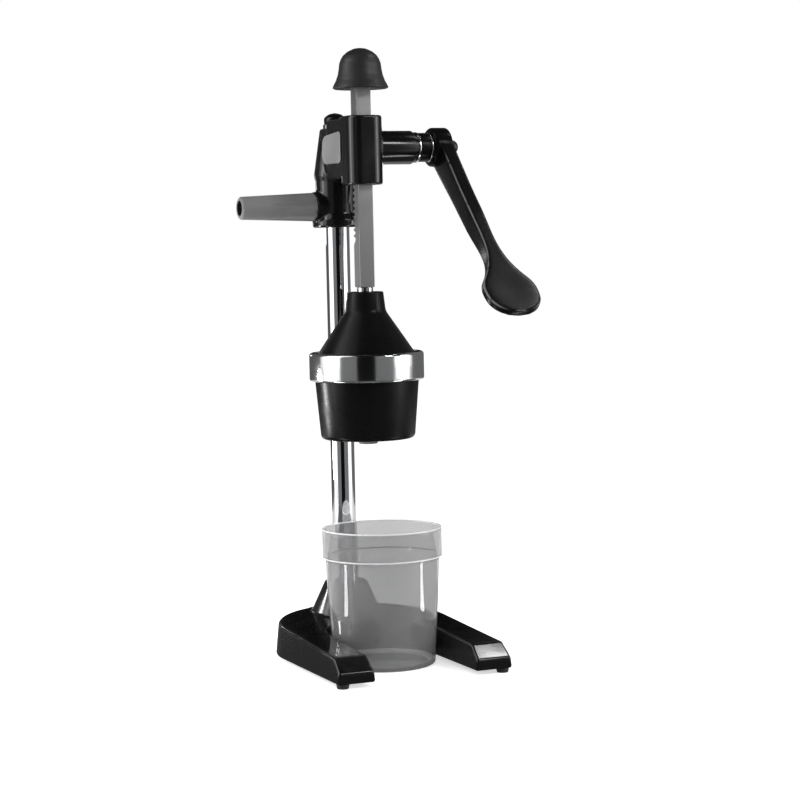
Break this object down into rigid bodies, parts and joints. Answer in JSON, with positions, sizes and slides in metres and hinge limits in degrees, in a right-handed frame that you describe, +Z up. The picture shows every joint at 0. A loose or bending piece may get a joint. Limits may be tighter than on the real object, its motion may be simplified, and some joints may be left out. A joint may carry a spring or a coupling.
{
  "type": "citrus press",
  "caption": "Hand cranked rack press for citrus: a lever drives a toothed ram and bell down into a strainer pot on a chrome column, over a jar standing between the legs of a horseshoe base.",
  "frame": {"origin": "on the floor plane, under the middle of the whole outline", "axes": "+Z up, -Y towards the user, +X towards the crank side"},
  "size_m": [0.2378, 0.279, 0.633],
  "materials": {
    "gloss_black": "gloss black enamel on cast aluminium",
    "satin_black": "satin black powder coat on cast aluminium",
    "chrome_tube": "bright chrome plate",
    "polished_steel": "polished stainless sheet",
    "zinc_steel": "zinc plated",
    "bright_steel": "bright turned steel",
    "black_oxide": "black oxide steel",
    "gear_steel": "cut steel, oiled",
    "rack_grey": "grey drawn steel bar",
    "grip_grey": "grey moulded plastic",
    "plate_grey": "blank matt plate",
    "bronze": "turned bronze",
    "knob_black": "satin black moulded plastic",
    "cap_black": "moulded",
    "foot_rubber": "moulded",
    "clear_jar": "clear moulded plastic"
  },
  "bodies": {
    "frame": {"base_casting": "gloss_black", "rubber_feet": "foot_rubber", "foot_screws": "zinc_steel", "column_tube": "chrome_tube", "column_grub_screws": "black_oxide", "column_cap": "cap_black", "head_casting": "gloss_black", "badge_plate": "plate_grey", "head_pinch_bolts": "black_oxide", "head_pinch_nuts": "zinc_steel", "bearing_sleeve": "gloss_black", "sleeve_screws": "zinc_steel", "bush_left": "bronze", "bush_right": "bronze", "rack_gib": "bronze", "handle_rod": "zinc_steel", "handle_grip": "grip_grey", "handle_nut": "black_oxide", "pot_casting": "satin_black", "pot_pinch_bolt": "black_oxide", "pot_pinch_nut": "zinc_steel", "steel_ring": "polished_steel", "strainer": "polished_steel", "spout_nozzle": "grip_grey"},
    "ram": {"rack_bar": "rack_grey", "top_knob": "knob_black", "bell_lock_nut": "bright_steel", "press_bell": "satin_black", "bell_cap_nut": "bright_steel"},
    "crank": {"pinion_shaft": "gear_steel", "pinion_gear": "gear_steel", "gear_key": "gear_steel", "thrust_washer": "bright_steel", "crank_collar": "satin_black", "hub_washer": "bright_steel", "crank_lever": "satin_black", "nut_washer": "bright_steel", "crank_nut": "black_oxide"},
    "jar_body": {"jar": "clear_jar"}
  },
  "joints": [
    {"name": "ram_slide", "type": "slide", "parent": "frame", "child": "ram", "axis": [0, 0, 1], "range_m": [0, 0.07]},
    {"name": "crank_turn", "type": "hinge", "parent": "frame", "child": "crank", "pos_m": [-0.00985, 0.05096, 0.532], "axis": [-1, 0, 0], "range_deg": [0, 200.54]},
    {"name": "jar_slide", "type": "slide", "parent": "frame", "child": "jar_body", "axis": [0, -1, 0], "range_m": [0, 0.2]}
  ],
  "couplings": [
    {"joint": "crank_turn", "follows": "ram_slide", "rad_per_m": 50}
  ]
}
